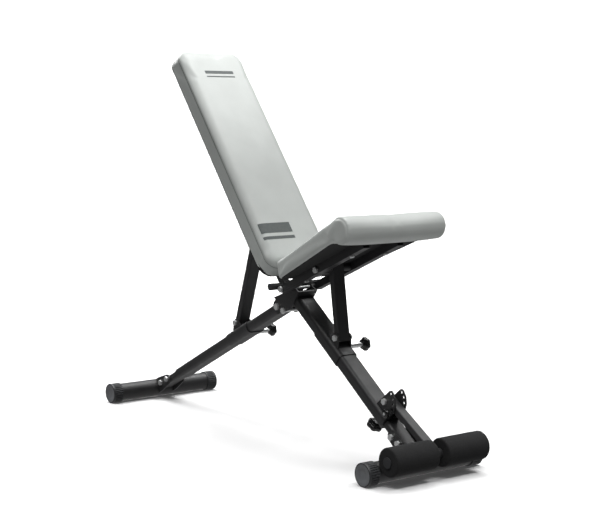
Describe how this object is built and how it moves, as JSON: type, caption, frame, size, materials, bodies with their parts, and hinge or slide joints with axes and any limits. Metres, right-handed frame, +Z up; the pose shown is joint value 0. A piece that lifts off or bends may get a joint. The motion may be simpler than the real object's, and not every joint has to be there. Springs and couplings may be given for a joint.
{
  "type": "adjustable weight bench",
  "caption": "Folding weight bench with a padded backrest and seat on sliding struts, locking pull pins and foam foot rollers.",
  "frame": {"origin": "on the floor, under the middle of the bench's length and width", "axes": "+X to the foot end, +Y to the side with the pull pins, +Z up"},
  "size_m": [1.4376, 0.404, 1.1585],
  "materials": {
    "black_frame": "satin black powder coat",
    "zinc_fastener": "bright zinc plate",
    "bright_steel": "chrome plate",
    "moulded_plastic": "moulded, fine texture",
    "knob_plastic": "moulded, smooth",
    "foam": "closed-cell foam",
    "vinyl": "light grey embossed vinyl",
    "board": "plywood under black lining cloth"
  },
  "bodies": {
    "front_frame": {"front_leg": "black_frame", "front_leg_bush": "moulded_plastic", "hub": "black_frame", "fold_bolt": "zinc_fastener", "stop_bolt": "zinc_fastener", "seat_pivot_bolt": "zinc_fastener", "seat_pivot_spacers": "black_frame", "hold_down_plates": "black_frame", "hold_down_bolt": "zinc_fastener", "leg_pin_barrel": "bright_steel"},
    "front_foot": {"front_foot_tube": "black_frame", "front_foot_caps": "moulded_plastic", "front_foot_stem": "black_frame", "front_foot_bracket": "black_frame", "front_foot_bolts": "zinc_fastener"},
    "rear_frame": {"rear_leg": "black_frame", "rear_leg_plugs": "moulded_plastic", "fold_bush": "moulded_plastic", "backrest_lugs": "black_frame", "rear_foot_tube": "black_frame", "rear_foot_caps": "moulded_plastic", "rear_foot_stem": "black_frame", "rear_foot_bracket": "black_frame", "rear_foot_bolts": "zinc_fastener"},
    "backrest": {"backrest_cross_tube": "black_frame", "cross_tube_caps": "moulded_plastic", "backrest_rails": "black_frame", "strut_track": "black_frame", "backrest_board": "board", "backrest_cushion": "vinyl", "backrest_screws": "zinc_fastener"},
    "seat": {"seat_rails": "black_frame", "seat_cross_plate": "black_frame", "seat_board": "board", "seat_cushion": "vinyl", "seat_screws": "zinc_fastener", "front_strut_bolt": "zinc_fastener", "front_strut_spacers": "black_frame"},
    "rear_carriage": {"rear_sleeve": "black_frame", "rear_sleeve_bolt": "zinc_fastener", "rear_pin_barrel": "bright_steel"},
    "rear_strut": {"rear_strut": "black_frame", "rear_strut_pin": "bright_steel"},
    "rear_pin": {"rear_plunger": "bright_steel", "rear_knob": "knob_plastic"},
    "front_carriage": {"front_sleeve": "black_frame", "front_sleeve_bolt": "zinc_fastener", "front_pin_barrel": "bright_steel"},
    "front_strut": {"front_strut": "black_frame"},
    "front_pin": {"front_plunger": "bright_steel", "front_knob": "knob_plastic"},
    "leg_pin": {"leg_plunger": "bright_steel", "leg_knob": "knob_plastic"},
    "hold_down": {"hold_down_arm": "black_frame", "roller_axle": "black_frame", "roller_plugs": "moulded_plastic"},
    "near_roller": {"near_roller": "foam"},
    "far_roller": {"far_roller": "foam"},
    "rest_pin": {"hold_down_pin": "bright_steel", "hold_down_knob": "knob_plastic"}
  },
  "joints": [
    {"name": "fold", "type": "hinge", "parent": "front_frame", "child": "rear_frame", "pos_m": [0.02722, 0, 0.38701], "axis": [0, 1, 0], "range_deg": [-95, 0]},
    {"name": "recline", "type": "hinge", "parent": "rear_frame", "child": "backrest", "pos_m": [0.07322, 0, 0.45401], "axis": [0, 1, 0], "range_deg": [-51.7, 18.3]},
    {"name": "rear_sleeve_slide", "type": "slide", "parent": "rear_frame", "child": "rear_carriage", "axis": [0.8952, 0, 0.4457], "range_m": [-0.2712, 0.0967]},
    {"name": "rear_strut_pivot", "type": "hinge", "parent": "rear_carriage", "child": "rear_strut", "pos_m": [-0.20724, 0, 0.31003], "axis": [0, 1, 0], "range_deg": [-6.6, 18.1]},
    {"name": "seat_tilt", "type": "hinge", "parent": "front_frame", "child": "seat", "pos_m": [0.09823, 0, 0.44841], "axis": [0, 1, 0], "range_deg": [-1.8, 23.2]},
    {"name": "front_sleeve_slide", "type": "slide", "parent": "front_frame", "child": "front_carriage", "axis": [-0.8054, 0, 0.5927], "range_m": [-0.0924, 0.0081]},
    {"name": "front_strut_pivot", "type": "hinge", "parent": "front_carriage", "child": "front_strut", "pos_m": [0.29013, 0, 0.32602], "axis": [0, 1, 0], "range_deg": [-17.5, 1.5]},
    {"name": "leg_extension", "type": "slide", "parent": "front_frame", "child": "front_foot", "axis": [-0.8054, 0, 0.5927], "range_m": [0, 0.028]},
    {"name": "hold_down_swing", "type": "hinge", "parent": "front_frame", "child": "hold_down", "pos_m": [0.50031, 0, 0.18003], "axis": [0, 1, 0], "range_deg": [-77, 0]},
    {"name": "near_roller_spin", "type": "hinge", "parent": "hold_down", "child": "near_roller", "pos_m": [0.67976, 0, 0.06957], "axis": [0, 1, 0], "continuous": true},
    {"name": "far_roller_spin", "type": "hinge", "parent": "hold_down", "child": "far_roller", "pos_m": [0.67976, 0, 0.06957], "axis": [0, 1, 0], "continuous": true},
    {"name": "rear_pin_pull", "type": "slide", "parent": "rear_carriage", "child": "rear_pin", "axis": [0, 1, 0], "range_m": [0, 0.008], "stiffness_N_per_m": 400},
    {"name": "front_pin_pull", "type": "slide", "parent": "front_carriage", "child": "front_pin", "axis": [0, 1, 0], "range_m": [0, 0.008], "stiffness_N_per_m": 400},
    {"name": "leg_pin_pull", "type": "slide", "parent": "front_frame", "child": "leg_pin", "axis": [-0.5927, 0, -0.8054], "range_m": [0, 0.008], "stiffness_N_per_m": 400},
    {"name": "rest_pin_pull", "type": "slide", "parent": "front_frame", "child": "rest_pin", "axis": [0, -1, 0], "range_m": [0, 0.07]}
  ],
  "couplings": [
    {"joint": "rear_sleeve_slide", "follows": "recline", "m_per_rad": 0.29949},
    {"joint": "rear_strut_pivot", "follows": "recline", "ratio": -0.347},
    {"joint": "front_sleeve_slide", "follows": "seat_tilt", "m_per_rad": -0.22575},
    {"joint": "front_strut_pivot", "follows": "seat_tilt", "ratio": -0.747}
  ]
}
